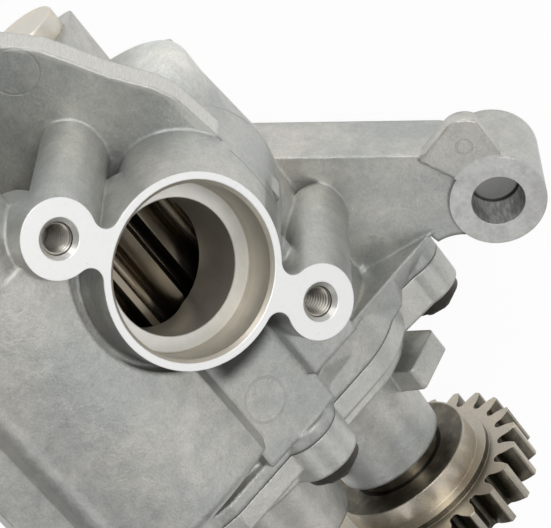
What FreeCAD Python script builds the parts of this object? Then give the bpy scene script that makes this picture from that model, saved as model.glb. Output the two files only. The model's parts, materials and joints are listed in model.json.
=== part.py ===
import FreeCAD, Part
import math
import os

# Engine oil pump: two straight-toothed pumping rotors in a die-cast housing,
# driven by a 24-tooth steel gear on the end of the drive shaft.
# Millimetres.  The shapes are drawn with the drive shaft on the X axis and are
# moved at the end so that the middle of the outlet face is the origin.

V = FreeCAD.Vector
X, Y, Z = V(1, 0, 0), V(0, 1, 0), V(0, 0, 1)

# Suction port: a machined ring and two threaded lugs on a face tipped about X
PORT_TILT = 37.9
PORT_Y = 9.5
PORT_Z = 54.4
PORT_RING_R = 24.3
PORT_MOUTH_R = 21.5
PORT_LEAD = 1.0
PORT_SEAT_DEPTH = 11.2
PORT_BORE_R = 17.2
PORT_BORE_DEPTH = 30.4
LUG_X = 30.9
LUG_LAT = 20.2
LUG_R = 9.8
LUG_THREAD_R = 4.0
LUG_THREAD_DEPTH = 16.0
LUG_SINK = 1.2
NECK_HOLLOW_R = 3.5
PAD_DEPTH = 24.0
RING_COLUMN_LEN = 36.0
LEFT_COLUMN_LEN = 45.0
RIGHT_COLUMN_LEN = 42.0

# Pumping rotors
ROTOR_MODULE = 3.5
ROTOR_TEETH = 10
ROTOR_TIP_GAP = 0.06
ROTOR_SIDE_GAP = 0.05
ROTOR_BACKLASH = 0.16
CHAMBER_BACK_X = -10.0
JOINT_X = 66.0

# Housing walls
BARREL_WALL = 3.4
FLANGE_WALL = 5.4
FLANGE_T = 10.0
BARREL_BACK_X = -32.0
BARREL_ROUND = 5.0
BACK_WALL = 4.0
PIN_BOSS_WALL = 3.6
GROOVE_X = -3.5
GROOVE_R = 28.0
GROOVE_DEP = 14.0
BOSS_BACK = 4.0
SHELF_DEP = 16.6
SHELF_STEP_IN = 4.0
SHELF_BACK_X = 16.0
WEB_DEP = 13.0
WEB_LAT = 11.6
WEB_END_IN = 15.0

# Drive gear
GEAR_MODULE = 2.6
GEAR_TEETH = 24
GEAR_WIDTH = 12.0
GEAR_WEB_R = 25.2
GEAR_WEB_T = 1.8
GEAR_HUB_R = 22.1
GEAR_HUB_LEN = 8.8

# Drive shaft, its keys, nut and bearings
SHAFT_R = 10.0
SHAFT_RUN = 0.04
SHAFT_END_GAP = 0.8
COLLAR_R = 13.6
COLLAR_GAP = 0.4
COLLAR_LEN = 4.6
NOSE_R = 9.0
THREAD_R = 7.0
THREAD_LEN = 13.0
KEY_W = 4.0
KEY_H = 4.0
KEY_SUNK = 2.4
ROTOR_KEY_LEN = 36.0
GEAR_KEY_LEN = 12.0
NUT_ACROSS = 21.0
NUT_T = 8.0
WASHER_R = 12.5
WASHER_T = 2.5
WASHER_RUN = 0.2
BUSH_WALL = 2.6
BODY_BUSH_LEN = 16.0
COVER_BUSH_LEN = 34.0

# Idler pin and the bush inside the driven rotor
PIN_R = 8.0
PIN_IN_BODY = 12.0
PIN_IN_COVER = 22.0
ROTOR_BUSH_WALL = 2.2

# Cover
COVER_RIM_T = 6.0
COVER_CROWN_T = 4.0
COVER_CROWN_INSET = 3.0
COVER_BOSS_R = 16.5
COVER_BOSS_FLARE = 1.6
COVER_BOSS_LEN = 38.5
IDLER_BOSS_R = 16.0
IDLER_BOSS_LEN = 28.0
LOBE_R = 9.6
LOBE_T = 10.5
BOLT_R = 3.0
BOLT_RUN = 0.5
BOLT_IN_BODY = 10.0
HEAD_FLANGE_R = 8.7
HEAD_FLANGE_T = 3.0
HEAD_ACROSS = 10.0
HEAD_T = 5.5
BOLT_SITES = ((63.4, 43.8), (3.0, 24.8), (-36.0, 31.0), (-28.0, 74.5), (12.0, 77.0), (45.0, 68.0))
DOWEL_SITES = (BOLT_SITES[2], BOLT_SITES[5])
DOWEL_WALL = 1.1
DOWEL_LEN = 10.0
STOP_LUG_IN = 13.0
STOP_LUG_T = 7.3
STOP_LUG_REACH = 31.3

# Smooth housing beside the port
HUMP_BACK_X = -62.0
HUMP_X = -31.0
HUMP_END_IN = 12.5
HUMP_END_ROUND = 3.5

# Mounting ear on its arm
EAR_X = 55.4
EAR_Y = 67.6
EAR_TOP_Z = -3.4
EAR_H = 27.6
EAR_R = 13.2
EAR_DRAFT = 0.5
EAR_BORE_R = 7.3
EAR_LAND = 12.5
SLEEVE_STEP = 0.4
SLEEVE_WALL = 1.0
SLEEVE_GAP = 0.9
ARM_DROP = 1.6
ARM_T = 20.4
TAB_T = 5.0
RIB_BACK_IN = 12.0
RIB_DEP = 22.9

# Flange plate round the foot of the columns
PLATE_Z = 15.2
PLATE_T = 8.0

# Relief valve
RELIEF_Y = -16.7
RELIEF_Z = -29.5
RELIEF_BACK_X = -44.0
RELIEF_SEAT_X = 6.0
RELIEF_SIDE = 12.3
RELIEF_BELOW = 10.0
PISTON_R = 7.5
PISTON_RUN = 0.03
PISTON_LEN = 16.0
PISTON_CUP_R = 5.6
PISTON_CUP_DEPTH = 11.0
SEAT_R = 5.5
CAP_R = 10.2
CAP_HEAD_T = 6.0
CAP_PLUG_LEN = 7.0
SPRING_R = 4.4
SPRING_WIRE_R = 0.7
SPRING_TURNS = 8
SPILL_R = 2.5

# Outlet
FLOOR_Z = -42.0
OUTLET_X = 24.0
OUTLET_Y = -24.0
OUTLET_R = 11.0
OUTLET_DEPTH = 16.0
OUTLET_PASSAGE_R = 8.5
OUTLET_WALL = 5.0
FOOT_LEN = 78.0
FOOT_WIDTH = 58.0
FOOT_T = 9.0
FOOT_CORNER = 9.0
FOOT_HOLE_R = 4.3
FOOT_HOLE_X = 60.0
FOOT_HOLE_Y = 40.0

SIN = math.sin(math.radians(PORT_TILT))
COS = math.cos(math.radians(PORT_TILT))
ROTOR_PITCH_R = ROTOR_MODULE * ROTOR_TEETH / 2.0
ROTOR_TIP_R = ROTOR_PITCH_R + ROTOR_MODULE
CHAMBER_R = ROTOR_TIP_R + ROTOR_TIP_GAP
# the drive axis seen from the port face: across (lat) and down (dep)
DRIVE_LAT = -PORT_Y * COS + PORT_Z * SIN
DRIVE_DEP = PORT_Y * SIN + PORT_Z * COS
DRIVEN_LAT = DRIVE_LAT - 2.0 * ROTOR_PITCH_R
BUSH_R = SHAFT_R + BUSH_WALL
ROTOR_BUSH_R = PIN_R + ROTOR_BUSH_WALL
COVER_BOSS_END = JOINT_X + COVER_BOSS_LEN
HUB_X = COVER_BOSS_END + COLLAR_GAP + COLLAR_LEN
GEAR_X = HUB_X + GEAR_HUB_LEN
GEAR_END_X = GEAR_X + GEAR_WIDTH
LOBE_FACE_X = JOINT_X + LOBE_T
DOWEL_R = BOLT_R + BOLT_RUN + DOWEL_WALL
SLEEVE_R = EAR_BORE_R + SLEEVE_STEP
EAR_BASE_Z = EAR_TOP_Z - EAR_H
SLEEVE_LEN = EAR_H - EAR_LAND - SLEEVE_GAP
ARM_TOP_Z = EAR_TOP_Z - ARM_DROP
ARM_BASE_Z = ARM_TOP_Z - ARM_T
STOP_LUG_X = JOINT_X + STOP_LUG_IN
HUMP_END_X = JOINT_X - HUMP_END_IN
SHELF_STEP_X = JOINT_X - SHELF_STEP_IN
WEB_END_X = JOINT_X - WEB_END_IN
RIB_BACK_X = JOINT_X - RIB_BACK_IN
BODY_BUSH_X = CHAMBER_BACK_X - BODY_BUSH_LEN
SHAFT_BACK_X = BODY_BUSH_X
PISTON_X = RELIEF_SEAT_X - PISTON_LEN
PISTON_FLOOR_X = RELIEF_SEAT_X - PISTON_LEN + PISTON_CUP_DEPTH
CAP_IN_X = RELIEF_BACK_X + CAP_PLUG_LEN
ROTOR_X0 = CHAMBER_BACK_X + ROTOR_SIDE_GAP
ROTOR_X1 = JOINT_X - ROTOR_SIDE_GAP
PIN_BACK_X = CHAMBER_BACK_X - PIN_IN_BODY


def port_place(shape):
    """Turn a shape drawn with the port face level on to the tipped port face."""
    s = shape.copy()
    tipped = FreeCAD.Placement(V(0, PORT_Y, PORT_Z), FreeCAD.Rotation(X, -PORT_TILT))
    s.Placement = tipped.multiply(s.Placement)
    return s


def yz(lat, dep):
    """Across and down from the port face, as y and z on the shaft axes."""
    return PORT_Y + COS * lat - SIN * dep, PORT_Z - SIN * lat - COS * dep


DRIVEN_Y, DRIVEN_Z = yz(DRIVEN_LAT, DRIVE_DEP)


def rod(r, x0, x1, y=0.0, z=0.0):
    return Part.makeCylinder(r, x1 - x0, V(x0, y, z), X)


def cone_x(r0, r1, x0, x1, y=0.0, z=0.0):
    return Part.makeCone(r0, r1, x1 - x0, V(x0, y, z), X)


def post(r, z0, z1, x, y):
    return Part.makeCylinder(r, z1 - z0, V(x, y, z0), Z)


def box(x0, x1, y0, y1, z0, z1):
    return Part.makeBox(x1 - x0, y1 - y0, z1 - z0, V(x0, y0, z0))


def fuse_all(shapes):
    s = shapes[0].fuse(shapes[1:]) if len(shapes) > 1 else shapes[0]
    return s.removeSplitter()


def loop_face(points):
    """Face from points; a point given as (p, 'arc') is the middle of an arc."""
    edges = []
    n = len(points)
    i = 0
    while i < n:
        a = points[i]
        b = points[(i + 1) % n]
        if len(b) == 4:
            c = points[(i + 2) % n]
            edges.append(Part.Arc(V(*a[:3]), V(*b[:3]), V(*c[:3])).toShape())
            i += 2
        else:
            edges.append(Part.makeLine(V(*a[:3]), V(*b[:3])))
            i += 1
    return Part.Face(Part.Wire(edges))


def sect(points, x0, x1):
    """Prism along X from (lat, dep) points; a third value marks an arc's middle."""
    pts = [(x0, p[0], -p[1]) + tuple(p[2:]) for p in points]
    return port_place(loop_face(pts).extrude(V(x1 - x0, 0, 0)))


def skinned(one, other):
    """Solid between two outlines with matching corners, its sides made of flat triangles."""
    faces = [Part.Face(Part.makePolygon(side + side[:1])) for side in (one, other)]
    n = len(one)
    for i in range(n):
        k = (i + 1) % n
        for corners in ((one[i], one[k], other[k]), (one[i], other[k], other[i])):
            faces.append(Part.Face(Part.makePolygon(list(corners) + [corners[0]])))
    solid = Part.Solid(Part.Shell(faces))
    if solid.Volume < 0:
        solid.reverse()
    return solid


def plan(points, z0, z1):
    """Prism along Z from (x, y) points; a third value marks an arc's middle."""
    pts = [(p[0], p[1], z0) + tuple(p[2:]) for p in points]
    return loop_face(pts).extrude(V(0, 0, z1 - z0))


def try_fillet(shape, radius, pick):
    edges = [e for e in shape.Edges if pick(e)]
    if not edges:
        return shape
    return shape.makeFillet(radius, edges)


def straight(edge):
    return isinstance(edge.Curve, (Part.Line, Part.LineSegment))


def along(edge, direction, tol=1e-3):
    if not straight(edge):
        return False
    d = (edge.Vertexes[1].Point - edge.Vertexes[0].Point).normalize()
    return abs(abs(d.dot(direction)) - 1.0) < tol


# Rotor and gear teeth
def involute(base_r, t):
    a = base_r * (math.cos(t) + t * math.sin(t))
    b = base_r * (math.sin(t) - t * math.cos(t))
    return a, b


def gear_face(module, teeth, root_k, play, flank_points=4, tip_round=0.0):
    """Spur gear outline in the YZ plane, one tooth centred on +Y."""
    rp = module * teeth / 2.0
    rb = rp * math.cos(math.radians(20.0))
    ra = rp + module
    rr = rp - root_k * module
    start = max(rb, rr + 0.15 * module)
    t_end = math.sqrt((ra / rb) ** 2 - 1.0)
    t_start = math.sqrt(max((start / rb) ** 2 - 1.0, 0.0))
    inv_p = math.tan(math.radians(20.0)) - math.radians(20.0)
    half = math.pi / (2.0 * teeth) - play / (2.0 * rp) + inv_p
    flank = []
    for k in range(flank_points + 1):
        t = t_start + (t_end - t_start) * k / flank_points
        a, b = involute(rb, t)
        flank.append((math.hypot(a, b), half - math.atan2(b, a)))
    pitch = 2.0 * math.pi / teeth

    def at(r, a):
        return V(0, r * math.cos(a), r * math.sin(a))

    edges = []
    for i in range(teeth):
        c = i * pitch
        up = [at(r, c - h) for r, h in flank]
        down = [at(r, c + h) for r, h in reversed(flank)]
        foot = flank[0][1]
        gap_mid = c + pitch / 2.0
        rise = Part.BSplineCurve()
        rise.interpolate(up)
        fall = Part.BSplineCurve()
        fall.interpolate(down)
        edges.append(rise.toShape())
        edges.append(Part.Arc(up[-1], at(ra, c), down[0]).toShape())
        edges.append(fall.toShape())
        nxt = at(flank[0][0], c + pitch - foot)
        edges.append(Part.Arc(down[-1], at(rr, gap_mid), nxt).toShape())
    return Part.Face(Part.Wire(edges))


def gear_solid(module, teeth, root_k, play, x0, x1):
    g = gear_face(module, teeth, root_k, play).extrude(V(x1 - x0, 0, 0))
    g.translate(V(x0, 0, 0))
    return g


def moved(shape, x=0.0, y=0.0, z=0.0):
    s = shape.copy()
    s.translate(V(x, y, z))
    return s


def turned(shape, degrees):
    s = shape.copy()
    s.rotate(V(0, 0, 0), X, degrees)
    return s


# Housing
def port_pad():
    """Machined face: ring, two lugs and the necks, hollowed by arcs that touch both rounds."""
    low = -PAD_DEPTH
    solids = [Part.makeCylinder(PORT_RING_R, PAD_DEPTH, V(0, 0, low))]
    run = math.hypot(LUG_X, LUG_LAT)
    reach = PORT_RING_R + NECK_HOLLOW_R
    along_neck = (reach ** 2 - (LUG_R + NECK_HOLLOW_R) ** 2 + run ** 2) / (2.0 * run)
    off = math.sqrt(reach ** 2 - along_neck ** 2)
    corners = [V(0, 0, low), V(along_neck, off, low), V(run, 0, low), V(along_neck, -off, low), V(0, 0, low)]
    neck = Part.Face(Part.makePolygon(corners)).extrude(V(0, 0, PAD_DEPTH))
    hollows = [Part.makeCylinder(NECK_HOLLOW_R, PAD_DEPTH, V(along_neck, side * off, low))
               for side in (1, -1)]
    neck = neck.cut(hollows)
    for sign in (1.0, -1.0):
        piece = neck.copy()
        piece.rotate(V(0, 0, 0), Z, math.degrees(math.atan2(sign * LUG_LAT, sign * LUG_X)))
        solids.append(piece)
        solids.append(Part.makeCylinder(LUG_R, PAD_DEPTH, V(sign * LUG_X, sign * LUG_LAT, low)))
    return port_place(fuse_all(solids))


def oblique_column(r, x, lat, length):
    """Cast column that runs straight down from a round of the tipped face."""
    circle = Part.makeCircle(r, V(x, lat, -0.5))
    face = port_place(Part.Face(Part.Wire([circle])))
    return face.extrude(V(0, 0, -length))


def rotor_case(wall, x0, x1):
    """Two rounds joined by flats, square to the port."""
    r = CHAMBER_R + wall
    flat = sect([(DRIVEN_LAT, DRIVE_DEP - r), (DRIVE_LAT, DRIVE_DEP - r),
                 (DRIVE_LAT, DRIVE_DEP + r), (DRIVEN_LAT, DRIVE_DEP + r)], x0, x1)
    return fuse_all([flat, rod(r, x0, x1), rod(r, x0, x1, DRIVEN_Y, DRIVEN_Z)])


def bearing_boss():
    """Blind rear boss of the drive shaft, rounded at its end."""
    boss = rod(CHAMBER_R + BARREL_WALL, BARREL_BACK_X, CHAMBER_BACK_X)
    end_edges = [e for e in boss.Edges if abs(e.CenterOfMass.x - BARREL_BACK_X) < 0.01]
    boss = boss.makeFillet(BARREL_ROUND, end_edges)
    top = PLATE_Z + PLATE_T - 1.0
    return boss.cut(box(BARREL_BACK_X - 1.0, CHAMBER_BACK_X + 1.0, -40.0, 40.0, top, top + 20.0))


def lobes(x0, x1, sites=BOLT_SITES):
    out = []
    for lat, dep in sites:
        y, z = yz(lat, dep)
        out.append(rod(LOBE_R, x0, x1, y, z))
        cy, cz = (0.0, 0.0) if lat > (DRIVE_LAT + DRIVEN_LAT) / 2.0 else (DRIVEN_Y, DRIVEN_Z)
        web = box(x0, x1, 0.0, math.hypot(y - cy, z - cz), -LOBE_R * 0.93, LOBE_R * 0.93)
        web.rotate(V(0, 0, 0), X, math.degrees(math.atan2(z - cz, y - cy)))
        web.translate(V(0, cy, cz))
        out.append(web)
    return out


def upper_body():
    """Large smooth housing beside the port, with its outer rail."""
    outer = [(-53.0, 8.6), (-57.9, 11.2, 1), (-60.0, 17.0), (-60.4, 19.6), (-71.0, 21.2),
             (-71.4, 29.0), (-61.5, 31.0), (-57.0, 60.0), (-22.0, 60.0)]
    hump = sect([(-9.3, 17.0), (-13.8, 8.2), (-33.0, 5.6, 1)] + outer + [(-9.3, 40.0)], HUMP_X, HUMP_END_X)
    hump = try_fillet(hump, HUMP_END_ROUND, lambda e: abs(e.CenterOfMass.x - HUMP_END_X) < 0.01
                      and not straight(e) and e.CenterOfMass.z > 20.0 and e.Length > 20.0)
    side = sect([(-20.0, 14.0), (-33.0, 6.4, 1)] + outer + [(-26.0, 30.0)], HUMP_BACK_X, HUMP_X + 1.0)
    groove = Part.makeCylinder(GROOVE_R, GROOVE_DEP + 20.0, V(GROOVE_X, 0, -GROOVE_DEP))
    return [p.cut(port_place(groove)) for p in (hump, side)]


def shelf():
    """Stepped shelf between the port and the joint flange, round the front bolt."""
    flat = sect([(-12.7, SHELF_DEP), (WEB_LAT + 1.0, SHELF_DEP), (WEB_LAT + 1.0, 42.0), (-12.7, 42.0)],
                SHELF_BACK_X - 1.5, SHELF_STEP_X)
    web = sect([(WEB_LAT - 3.0, WEB_DEP + 12.0), (WEB_LAT, WEB_DEP), (28.0, WEB_DEP), (31.0, 40.0),
                (0.0, 40.0)], SHELF_BACK_X, WEB_END_X)
    return [flat, web]


def upper_hollow():
    """Pocket under the smooth housing, open below, with a rib across it."""
    outline = [(-41.0, 13.0), (-53.0, 14.5), (-55.0, 32.0), (-51.5, 61.0), (-41.0, 61.0)]
    return [sect(outline, -57.0, -8.0), sect(outline, -4.0, 46.0)]


def plate():
    """Trimmed flange round the foot of the columns."""
    return plan([(-66.0, -34.0), (-66.0, -5.4), (-58.0, 3.6), (-51.9, 7.6), (-43.2, 13.1), (-34.1, 20.4),
                 (-29.0, 23.0), (-14.8, 25.4), (-3.0, 27.2), (9.0, 28.0), (14.0, 20.0), (14.0, -34.0)],
                PLATE_Z, PLATE_Z + PLATE_T)


def arm():
    """Flat arm with the drilled ear and its corner tab."""
    web = plan([(6.2, 18.4), (EAR_X - 19.4, EAR_Y - 4.8), (EAR_X - 6.0, EAR_Y + 10.1),
                (EAR_X + 4.8, EAR_Y - 13.0), (EAR_X + 2.7, EAR_Y - 17.4, 1), (EAR_X + 2.4, EAR_Y - 20.6),
                (RIB_BACK_X, 46.0), (RIB_BACK_X, -5.0), (6.2, -5.0)], ARM_BASE_Z, ARM_TOP_Z)
    ear = Part.makeCone(EAR_R + EAR_DRAFT, EAR_R, EAR_H, V(EAR_X, EAR_Y, EAR_BASE_Z))
    tab = plan([(EAR_X - 22.2, EAR_Y - 11.2), (EAR_X - 25.8, EAR_Y - 1.6), (EAR_X - 26.4, EAR_Y + 4.4, 1),
                (EAR_X - 23.8, EAR_Y + 7.6), (EAR_X - 12.0, EAR_Y + 7.9), (EAR_X - 3.4, EAR_Y - 1.6)],
               EAR_TOP_Z - TAB_T, EAR_TOP_Z)
    return [web, ear, tab]


def flange_rib():
    """Rib between flange and arm: level along its back, and along the joint face's outline in front."""
    back = [(10.9, 16.8), (15.7, 18.6), (32.0, RIB_DEP), (48.7, RIB_DEP), (57.0, RIB_DEP), (66.5, RIB_DEP),
            (69.0, 46.0), (10.9, 46.0)]
    front = [(10.9, 20.0), (15.7, 24.9), (35.5, 25.8), (48.7, 29.9), (53.6, 35.5), (59.2, 37.8),
             (66.0, 46.0), (10.9, 46.0)]
    return port_place(skinned([V(RIB_BACK_X, a, -d) for a, d in back], [V(JOINT_X, a, -d) for a, d in front]))


def lip(x0, x1):
    """Raised edge of the joint flange beside the front bolt boss."""
    return sect([(-5.0, 20.8), (-27.0, 20.8), (-36.0, 23.6), (-36.0, 34.0), (-5.0, 34.0)], x0, x1)


def barrel_wall():
    """Flat drafted side of the housing below the plate."""
    wall = plan([(-28.5, -5.0), (-28.5, 19.6), (9.0, 23.4), (12.0, 23.4), (12.0, -5.0)], -20.0, PLATE_Z)
    return try_fillet(wall, 5.0, lambda e: straight(e) and abs(e.CenterOfMass.z + 20.0) < 0.01
                      and e.CenterOfMass.y > 15.0)


def relief_block():
    low = box(RELIEF_BACK_X, OUTLET_X - 8.0, RELIEF_Y - RELIEF_SIDE, RELIEF_Y + RELIEF_SIDE,
              RELIEF_Z - RELIEF_BELOW, RELIEF_Z + 14.0)
    low = try_fillet(low, 3.0, lambda e: along(e, X) and e.CenterOfMass.z < RELIEF_Z)
    high = box(RELIEF_BACK_X, BARREL_BACK_X + 12.0, RELIEF_Y - RELIEF_SIDE, RELIEF_Y + RELIEF_SIDE,
               RELIEF_Z + 10.0, PLATE_Z + 1.0)
    return [low, high]


def outlet():
    duct = post(OUTLET_R + OUTLET_WALL, FLOOR_Z, 0.0, OUTLET_X, OUTLET_Y)
    foot = box(OUTLET_X - FOOT_LEN / 2.0, OUTLET_X + FOOT_LEN / 2.0, OUTLET_Y - FOOT_WIDTH / 2.0,
               OUTLET_Y + FOOT_WIDTH / 2.0, FLOOR_Z, FLOOR_Z + FOOT_T)
    return [duct, try_fillet(foot, FOOT_CORNER, lambda e: along(e, Z))]


def port_cuts():
    seat = Part.makeCylinder(PORT_MOUTH_R, PORT_SEAT_DEPTH + 1.0, V(0, 0, -PORT_SEAT_DEPTH))
    lead = Part.makeCone(PORT_MOUTH_R, PORT_MOUTH_R + PORT_LEAD, PORT_LEAD, V(0, 0, -PORT_LEAD))
    bore = Part.makeCylinder(PORT_BORE_R, PORT_BORE_DEPTH, V(0, 0, -PORT_BORE_DEPTH))
    tools = [seat, lead, bore]
    for side in (1, -1):
        x, lat = side * LUG_X, side * LUG_LAT
        tools.append(Part.makeCylinder(LUG_THREAD_R, LUG_THREAD_DEPTH, V(x, lat, -LUG_THREAD_DEPTH)))
        tools.append(Part.makeCone(LUG_THREAD_R, LUG_THREAD_R + LUG_SINK, LUG_SINK, V(x, lat, -LUG_SINK)))
    out = [port_place(t) for t in tools]
    throat_top = PORT_BORE_DEPTH - 0.2
    out.append(sect([(-18.0, throat_top), (24.0, throat_top), (30.0, 46.0), (-16.0, 46.0)],
                    CHAMBER_BACK_X, 30.0))
    return out


def foot_sites():
    return [(OUTLET_X + i * FOOT_HOLE_X / 2.0, OUTLET_Y + j * FOOT_HOLE_Y / 2.0)
            for i in (-1, 1) for j in (-1, 1)]


def body_cuts():
    cuts = upper_hollow() + port_cuts()
    end = JOINT_X + 1.0
    cuts.append(rod(CHAMBER_R, CHAMBER_BACK_X, end))
    cuts.append(rod(CHAMBER_R, CHAMBER_BACK_X, end, DRIVEN_Y, DRIVEN_Z))
    cuts.append(rod(BUSH_R, SHAFT_BACK_X - SHAFT_END_GAP, CHAMBER_BACK_X + 1.0))
    cuts.append(rod(PIN_R, PIN_BACK_X, CHAMBER_BACK_X + 1.0, DRIVEN_Y, DRIVEN_Z))
    for lat, dep in BOLT_SITES:
        y, z = yz(lat, dep)
        cuts.append(rod(BOLT_R, JOINT_X - BOLT_IN_BODY - 1.0, end, y, z))
    for lat, dep in DOWEL_SITES:
        y, z = yz(lat, dep)
        cuts.append(rod(DOWEL_R, JOINT_X - DOWEL_LEN / 2.0, end, y, z))
    cuts.append(post(EAR_BORE_R, EAR_BASE_Z - 1.0, EAR_TOP_Z + 1.0, EAR_X, EAR_Y))
    cuts.append(post(SLEEVE_R, EAR_BASE_Z - 1.0, EAR_TOP_Z - EAR_LAND, EAR_X, EAR_Y))
    cuts.append(rod(PISTON_R + PISTON_RUN, RELIEF_BACK_X - 1.0, RELIEF_SEAT_X, RELIEF_Y, RELIEF_Z))
    cuts.append(rod(SEAT_R, RELIEF_SEAT_X - 1.0, OUTLET_X, RELIEF_Y, RELIEF_Z))
    spill_from = V(RELIEF_SEAT_X - SPILL_R - 1.5, RELIEF_Y, RELIEF_Z)
    cuts.append(Part.makeCylinder(SPILL_R, RELIEF_SIDE + 1.0, spill_from, V(0, -1, 0)))
    cuts.append(post(OUTLET_R, FLOOR_Z - 1.0, FLOOR_Z + OUTLET_DEPTH, OUTLET_X, OUTLET_Y))
    cuts.append(post(OUTLET_PASSAGE_R, FLOOR_Z, -2.0, OUTLET_X, OUTLET_Y))
    for x, y in foot_sites():
        cuts.append(post(FOOT_HOLE_R, FLOOR_Z - 1.0, FLOOR_Z + FOOT_T + 1.0, x, y))
    return cuts


def pump_body():
    parts = [rotor_case(BARREL_WALL, CHAMBER_BACK_X - BACK_WALL, JOINT_X - FLANGE_T + 1.0)]
    pin_boss_back = PIN_BACK_X - PIN_BOSS_WALL
    parts += [bearing_boss(), rod(PIN_R + PIN_BOSS_WALL, pin_boss_back, CHAMBER_BACK_X, DRIVEN_Y, DRIVEN_Z)]
    parts.append(rotor_case(FLANGE_WALL, JOINT_X - FLANGE_T, JOINT_X))
    parts += lobes(JOINT_X - FLANGE_T - BOSS_BACK, JOINT_X, BOLT_SITES[:1] + BOLT_SITES[2:])
    parts += lobes(SHELF_STEP_X, JOINT_X, BOLT_SITES[1:2])
    parts += [flange_rib(), lip(SHELF_STEP_X, JOINT_X)]
    parts += upper_body() + shelf()
    parts.append(port_pad())
    parts.append(oblique_column(PORT_RING_R, 0.0, 0.0, RING_COLUMN_LEN))
    parts.append(oblique_column(LUG_R, -LUG_X, -LUG_LAT, LEFT_COLUMN_LEN))
    parts.append(oblique_column(LUG_R, LUG_X, LUG_LAT, RIGHT_COLUMN_LEN))
    parts += [plate(), barrel_wall()]
    parts += arm() + relief_block() + outlet()
    return fuse_all(parts).cut(body_cuts()).removeSplitter()


# Cover
def stop_lug():
    """Slanted stop beside the bearing boss; its two sides run to the boss at about forty degrees."""
    outline = [(STOP_LUG_REACH, -1.6), (22.0, -9.3), (12.0, -11.0), (0.0, 0.0), (8.0, 2.0), (15.6, 7.0),
               (23.5, 12.3)]
    face = Part.Face(Part.makePolygon([V(STOP_LUG_X, y, z) for y, z in outline + outline[:1]]))
    lug = face.extrude(V(STOP_LUG_T, 0, 0))
    return try_fillet(lug, 1.2, lambda e: e.CenterOfMass.y > COVER_BOSS_R + 6.0 and along(e, X))


def pump_cover():
    x0 = JOINT_X
    x1 = JOINT_X + COVER_RIM_T
    parts = [rotor_case(FLANGE_WALL, x0, x1)] + lobes(x0, LOBE_FACE_X)
    parts.append(rotor_case(FLANGE_WALL - COVER_CROWN_INSET, x1 - 0.5, x1 + COVER_CROWN_T))
    parts.append(cone_x(COVER_BOSS_R + COVER_BOSS_FLARE, COVER_BOSS_R, x1, COVER_BOSS_END))
    parts.append(rod(IDLER_BOSS_R, x1, x1 + IDLER_BOSS_LEN, DRIVEN_Y, DRIVEN_Z))
    parts += [stop_lug(), lip(x0, x1)]
    cover = fuse_all(parts)
    cuts = [rod(BUSH_R, x0 - 1.0, COVER_BOSS_END + 1.0),
            rod(PIN_R, x0 - 1.0, x0 + PIN_IN_COVER, DRIVEN_Y, DRIVEN_Z)]
    for lat, dep in BOLT_SITES:
        y, z = yz(lat, dep)
        cuts.append(rod(BOLT_R + BOLT_RUN, x0 - 1.0, LOBE_FACE_X + 1.0, y, z))
        cuts.append(rod(HEAD_FLANGE_R + 0.5, LOBE_FACE_X, LOBE_FACE_X + 2.0 * HEAD_T, y, z))
    for lat, dep in DOWEL_SITES:
        y, z = yz(lat, dep)
        cuts.append(rod(DOWEL_R, x0 - 1.0, x0 + DOWEL_LEN / 2.0, y, z))
    return cover.cut(cuts).removeSplitter()


def hexagon(across, x0, x1, y=0.0, z=0.0):
    r = across / math.sqrt(3.0)
    angles = [math.radians(60 * k) for k in range(7)]
    pts = [V(x0, y + r * math.cos(a), z + r * math.sin(a)) for a in angles]
    hexa = Part.Face(Part.makePolygon(pts)).extrude(V(x1 - x0, 0, 0))
    return hexa.common(cone_x(r + (x1 - x0) * 0.6, r * 0.93, x0, x1, y, z))


def cover_bolts():
    out = []
    for lat, dep in BOLT_SITES:
        y, z = yz(lat, dep)
        flange_end = LOBE_FACE_X + HEAD_FLANGE_T
        out.append(fuse_all([cone_x(HEAD_FLANGE_R, HEAD_FLANGE_R - 0.5, LOBE_FACE_X, flange_end, y, z),
                             hexagon(HEAD_ACROSS, LOBE_FACE_X, LOBE_FACE_X + HEAD_T, y, z),
                             rod(BOLT_R, JOINT_X - BOLT_IN_BODY, LOBE_FACE_X, y, z)]))
    return Part.makeCompound(out)


def cover_dowels():
    out = []
    for lat, dep in DOWEL_SITES:
        y, z = yz(lat, dep)
        tube = rod(DOWEL_R, JOINT_X - DOWEL_LEN / 2.0, JOINT_X + DOWEL_LEN / 2.0, y, z)
        out.append(tube.cut(rod(BOLT_R + BOLT_RUN, JOINT_X - DOWEL_LEN, JOINT_X + DOWEL_LEN, y, z)))
    return Part.makeCompound(out)


# Drive line
def key_block(bore_r, x0, x1):
    return box(x0, x1, bore_r - KEY_SUNK, bore_r - KEY_SUNK + KEY_H, -KEY_W / 2.0, KEY_W / 2.0)


ROTOR_KEY_X = (ROTOR_X0 + ROTOR_X1 - ROTOR_KEY_LEN) / 2.0
GEAR_KEY_X = HUB_X + 5.0


def rotor_key():
    return key_block(SHAFT_R, ROTOR_KEY_X, ROTOR_KEY_X + ROTOR_KEY_LEN)


def gear_key():
    return key_block(NOSE_R, GEAR_KEY_X, GEAR_KEY_X + GEAR_KEY_LEN)


def drive_shaft():
    thread_x = GEAR_END_X + WASHER_T - 1.0
    s = fuse_all([rod(SHAFT_R, SHAFT_BACK_X, COVER_BOSS_END + COLLAR_GAP),
                  rod(COLLAR_R, COVER_BOSS_END + COLLAR_GAP, HUB_X),
                  rod(NOSE_R, HUB_X, GEAR_END_X - 0.5),
                  rod(THREAD_R, GEAR_END_X - 0.5, thread_x + THREAD_LEN)])
    return s.cut([rotor_key(), gear_key()])


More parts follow.
